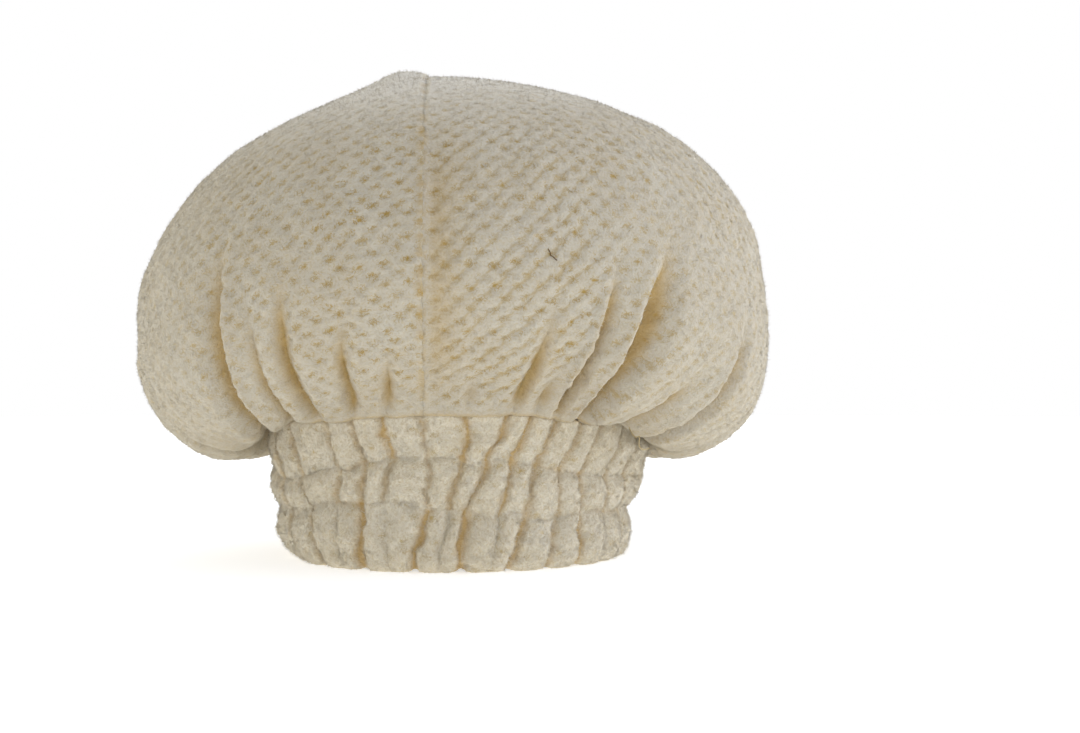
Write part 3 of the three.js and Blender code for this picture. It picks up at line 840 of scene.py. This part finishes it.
def looseBit(name):
    # a thread end as a thin bent tube
    points, radius = looseBits[name]["points"], looseBits[name]["radius"]
    curve = bpy.data.curves.new(name, "CURVE")
    curve.dimensions = "3D"
    curve.bevel_depth = radius * mm
    curve.bevel_resolution = 1
    curve.use_fill_caps = True
    line = curve.splines.new("NURBS")
    line.points.add(len(points) - 1)
    for target, place in zip(line.points, points):
        target.co = (*(np.array(place) * mm + axis), 1)
    line.use_endpoint_u = True
    line.order_u = 3
    line.resolution_u = 5
    thread = bpy.data.objects.new(name, curve)
    bpy.context.scene.collection.objects.link(thread)
    bpy.ops.object.select_all(action="DESELECT")
    thread.select_set(True)
    bpy.context.view_layer.objects.active = thread
    bpy.ops.object.convert(target="MESH")
    return thread


def fromHex(code):
    # sRGB hex to linear colour
    parts = [int(code[i:i + 2], 16) / 255 for i in (1, 3, 5)]
    return [*(c / 12.92 if c <= 0.04045 else ((c + 0.055) / 1.055) ** 2.4 for c in parts), 1]


def fill(node, settings=None, inputs=None):
    # gives a node its settings, its input values, and its links, which are written (node, output)
    for key, value in (settings or {}).items():
        setattr(node, key, value)
    for key, value in (inputs or {}).items():
        if isinstance(value, tuple) and isinstance(value[0], bpy.types.Node):
            node.id_data.links.new(value[0].outputs[value[1]], node.inputs[key])
        else:
            node.inputs[key].default_value = value
    return node


def addNode(tree, kind, output, settings=None, inputs=None):
    # comes back as (node, output), ready to be an input of the next node
    return fill(tree.nodes.new(kind), settings, inputs), output


def mathNode(tree, operation, *values, clamp=False):
    settings = {"operation": operation, "use_clamp": clamp}
    return addNode(tree, "ShaderNodeMath", "Value", settings, dict(enumerate(values)))


def noiseNode(tree, size, detail=2, roughness=0.5):
    # noise fixed to the object, whose lumps measure about size in mm
    place = addNode(tree, "ShaderNodeTexCoord", "Object")
    return addNode(tree, "ShaderNodeTexNoise", "Fac", None, {
        "Vector": place, "Scale": 1 / (size * mm), "Detail": detail, "Roughness": roughness})


def rangeNode(tree, value, span, low=0, high=1, kind="SMOOTHSTEP"):
    # low where the value is at the start of the span, and high where it is at the end
    return addNode(tree, "ShaderNodeMapRange", "Result", {"interpolation_type": kind}, {
        "Value": value, "From Min": span[0], "From Max": span[1], "To Min": low, "To Max": high})


def blendNode(tree, share, first, second):
    return addNode(tree, "ShaderNodeMix", "Result", {"data_type": "RGBA"}, {
        "Factor": share, "A": first, "B": second})


def bumpNode(tree, height, strength, distance):
    return addNode(tree, "ShaderNodeBump", "Normal", None, {
        "Strength": strength, "Distance": distance * mm, "Height": height})


def newMaterial(name):
    material = bpy.data.materials.new(name)
    material.use_nodes = True
    return material, material.node_tree


def spunThread(name, colour):
    # a spun yarn end, matt, with its twist showing as fine ridges
    material, tree = newMaterial(name)
    twist = noiseNode(tree, 0.5, 1)
    shadow = [0.7 * part for part in fromHex(colour)[:3]] + [1]
    fill(tree.nodes["Principled BSDF"], None, {
        "Base Color": blendNode(tree, twist, fromHex(colour), shadow),
        "Roughness": 0.85,
        "Normal": bumpNode(tree, twist, 0.5, 0.1)})
    return material


# Creams and golds of the cloth: a lighter cream as painted light on the crown's rubbed top, golds as
# painted shade in creases and, with the darker backing, in pits; how much painted golden shade lies
# between the fibres, how strongly the pile shows as bump, and how far light wanders about in it.
looks = {
    "crown": {
        "light": "#c1bdb0", "warm": "#b8af9c", "rubbed": "#d6d4ca", "pit": "#a58b4c", "deep": "#b09048",
        "between": 0.28, "bump": 0.7, "glow": 0.45,
    },
    "band": {
        # the band's creams are lighter than the crown's, as painted light against the shade under the
        # crown's overhang
        "light": "#dfd9c8", "warm": "#d5ccb6", "rubbed": "#dfd9c8", "pit": "#b09656", "deep": "#bf973f",
        "between": 0.38, "bump": 0.9, "glow": 0.4,
    },
}
fleece = {
    "clump": 1.8,  # size in mm of the pile's clumps, of its fibres, and of patches of a warmer cream
    "fibre": 0.9,
    "patch": 22,
    "shadowed": (0.32, 0.55),  # of the fibres' noise: golden below the first, and not above the second
    "flattened": 0.75,  # how much of the pile's own shadow and bump goes where it is rubbed flat
    "ragged": 0.8,  # how far the clumps push the edge of a pit about
    "core": (0.62, 1),  # nearness to a pit's middle where its gold starts and is full
    "arms": (0.25, 0.65),  # where the thin golden arms round it start and are full
    "armWidth": 0.07,
    "armGold": 0.8,
    "slit": (0.55, 1),  # nearness to the slanting groove between two pits
    "slitGold": 0.5,
    "creaseShadeShare": 0.85,
    "relief": 0.7,  # mm of bump from the clumps
    "fibreShare": 0.8,  # of it from the fibres on top of them
    "pitShare": 0.4,  # and of it that is missing in a pit
    "sheen": "#f2e2c0",
}


def coralFleece(name, look, bump, glow):
    # cotton towelling with a cut looped pile: matt, fuzzy, with golden painted shade between the loops
    material, tree = newMaterial(name)
    light, warm, rubbedLitColour, shadeAndBackingGold, creaseShadeColour = (
        fromHex(look[key]) for key in ("light", "warm", "rubbed", "pit", "deep"))
    pit, crease, shown, groove, rubbed = (
        addNode(tree, "ShaderNodeAttribute", "Fac", {"attribute_name": key})
        for key in ("pit", "crease", "shown", "link", "rubbed"))
    clump = noiseNode(tree, fleece["clump"], 2, 0.6)
    fibres = noiseNode(tree, fleece["fibre"], 2, 0.6)
    standing = mathNode(tree, "MULTIPLY_ADD", rubbed, -fleece["flattened"], 1)
    base = blendNode(tree, noiseNode(tree, fleece["patch"]), light, warm)
    # painted light: the crown's top is lightened, where the pile is also rubbed flat with fewer shadows
    base = blendNode(tree, rubbed, base, rubbedLitColour)
    # light that sinks between the fibres comes back golden
    # painted shade between the fibres: golden where light would sink in
    shadeBetweenFibres = rangeNode(tree, fibres, fleece["shadowed"], look["between"], 0, "LINEAR")
    base = blendNode(tree, mathNode(tree, "MULTIPLY", shadeBetweenFibres, standing), base, shadeAndBackingGold)
    # the clumps of pile part at a pit, which gives it a ragged edge with thin arms; its gold, like that
    # of the slanting grooves, is painted shade together with the darker backing showing through
    ragged = mathNode(tree, "MULTIPLY_ADD", clump, fleece["ragged"], -fleece["ragged"] / 2)
    core = rangeNode(tree, mathNode(tree, "ADD", pit, ragged), fleece["core"])
    offLine = mathNode(tree, "ABSOLUTE", mathNode(tree, "SUBTRACT", clump, 0.5))
    line = rangeNode(tree, offLine, (0, fleece["armWidth"]), fleece["armGold"], 0)
    arms = mathNode(tree, "MULTIPLY", line, rangeNode(tree, pit, fleece["arms"]))
    star = mathNode(tree, "MULTIPLY", mathNode(tree, "MAXIMUM", core, arms), shown, clamp=True)
    slit = rangeNode(tree, mathNode(tree, "ADD", groove, ragged), fleece["slit"], 0, fleece["slitGold"])
    opened = mathNode(tree, "MAXIMUM", star, slit)
    base = blendNode(tree, opened, base, shadeAndBackingGold)
    # painted shade in the creases, the grooves, the stitching and the join
    paintedCreaseShade = mathNode(tree, "MULTIPLY", crease, fleece["creaseShadeShare"], clamp=True)
    base = blendNode(tree, paintedCreaseShade, base, creaseShadeColour)
    pile = mathNode(tree, "MULTIPLY_ADD", fibres, fleece["fibreShare"], clump)
    pile = mathNode(tree, "MULTIPLY_ADD", opened, -fleece["pitShare"], pile)
    pile = mathNode(tree, "MULTIPLY", pile, standing)
    fill(tree.nodes["Principled BSDF"], None, {
        "Base Color": base,
        "Roughness": 0.95,
        "Sheen Weight": 0.3,
        "Sheen Roughness": 0.6,
        "Sheen Tint": fromHex(fleece["sheen"]),
        "Specular IOR Level": 0.15,
        "Subsurface Weight": glow,
        "Subsurface Scale": 0.003,
        "Subsurface Radius": (1.0, 0.9, 0.7),
        "Normal": bumpNode(tree, pile, bump, fleece["relief"])})
    return material


def studioFloor():
    # matt white paint that runs out into the white of the walls
    material, tree = newMaterial("painted studio floor")
    place = addNode(tree, "ShaderNodeTexCoord", "Object")
    distance = addNode(tree, "ShaderNodeVectorMath", "Value", {"operation": "LENGTH"}, {0: place})
    fill(tree.nodes["Principled BSDF"], None, {
        "Base Color": fromHex("#e6e6e4"),
        "Roughness": 0.9,
        "Emission Color": (1, 1, 1, 1),
        "Emission Strength": rangeNode(tree, distance, (0.1, 0.5), 0.55, 0.8)})
    bpy.ops.object.select_all(action="DESELECT")
    low = cadBox[0].z
    bpy.ops.mesh.primitive_circle_add(vertices=96, radius=4, fill_type="NGON", location=(0, 0, low))
    floor = bpy.context.object
    floor.name = "floor"
    floor.data.materials.append(material)


# Softboxes: place, size, watts and colour. They all face the middle of the cap.
lights = {
    "window": ((1.0, -0.4, 0.9), 0.8, 5.0, "#d2deff"),
    "front": ((0.35, -1.45, 0.3), 1.0, 3.2, "#f8f6ff"),
    "back": ((0.2, 1.2, 0.9), 1.0, 2, "#e8f0ff"),
}


def softLight(name, place, size, power, colour):
    light = bpy.data.lights.new(name, "AREA")
    light.size, light.energy, light.color = size, power, fromHex(colour)[:3]
    lamp = bpy.data.objects.new(name, light)
    bpy.context.scene.collection.objects.link(lamp)
    lamp.location = place
    lamp.rotation_euler = (Vector((0, 0, 0.1)) - Vector(place)).to_track_quat("-Z", "Y").to_euler()


def whiteWalls():
    # white all round, a little dimmer overhead and at half strength behind the camera
    world = bpy.data.worlds.new("studio")
    world.use_nodes = True
    tree = world.node_tree
    direction = addNode(tree, "ShaderNodeTexCoord", "Generated")
    parts, _ = addNode(tree, "ShaderNodeSeparateXYZ", "Z", None, {"Vector": direction})
    overhead = rangeNode(tree, mathNode(tree, "ABSOLUTE", (parts, "Z")), (0.35, 0.7), 1, 0.9)
    behind = rangeNode(tree, (parts, "Y"), (-0.5, 0.2), 0.5, 1)
    fill(tree.nodes["Background"], None, {
        "Color": (1, 1, 1, 1), "Strength": mathNode(tree, "MULTIPLY", overhead, behind)})
    bpy.context.scene.world = world
    bpy.context.scene.view_settings.view_transform = "Standard"


view = {
    "distance": 0.62,  # from the cap's axis to the lens
    "height": 0.0715,
    "focal": 45.08,  # on a sensor 36 mm wide
    "pan": 3.6,  # degrees to the right
    "tilt": 1.2,  # degrees up
}


def camera():
    data = bpy.data.cameras.new("camera")
    data.sensor_width = 36
    data.lens = view["focal"]
    lens = bpy.data.objects.new("camera", data)
    bpy.context.scene.collection.objects.link(lens)
    lens.location = (axis[0], axis[1] - view["distance"], view["height"])
    lens.rotation_euler = (math.radians(90 + view["tilt"]), 0, -math.radians(view["pan"]))
    bpy.context.scene.camera = lens


def triangles(piece):
    return sum(len(face.vertices) - 2 for face in piece.data.polygons)


camera()
studioFloor()
for name, values in lights.items():
    softLight(name, *values)
whiteWalls()
print("camera, floor and", len(lights), "lights")

clothFinish, fibreFinish = {}, {}
for part, look in looks.items():
    clothFinish[part] = coralFleece("cotton coral fleece, " + part, look, look["bump"], look["glow"])
    # single fibres are too thin for light to wander about in
    fibreFinish[part] = coralFleece("loose cotton fibre, " + part, look, 0, 0)
print("cloth materials for", *looks)

frontSeam = creases.index("front seam")
backSeam = creases.index("back seam")
creases.insert(0, "back seam")  # the back seam is where the left panel starts too
leftCloth = crownPanel("crown_left_cloth", 0, frontSeam + 1, -1)
print("left panel", triangles(leftCloth))
rightCloth = crownPanel("crown_right_cloth", frontSeam + 1, backSeam + 1, 1)
print("right panel", triangles(rightCloth))
bandCloth = bandPiece()
print("band", triangles(bandCloth))

for piece, part, node in (
    (leftCloth, "crown", "crown_left"), (rightCloth, "crown", "crown_right"), (bandCloth, "band", "band"),
):
    piece.data.materials.append(clothFinish[part])
    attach(piece, "root")
    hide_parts(node)
    loose = napOver(node + "_nap", piece, nap["fibres"][node], nap[part + "Length"], len(node))
    loose.data.materials.append(fibreFinish[part])
    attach(loose, "root")
    print("fibres on", node, triangles(loose))

for name, row in looseBits.items():
    bit = looseBit(name)
    bit.data.materials.append(spunThread("spun yarn, " + name.split("_")[0], row["colour"]))
    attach(bit, "root")
print("loose bits", *looseBits)
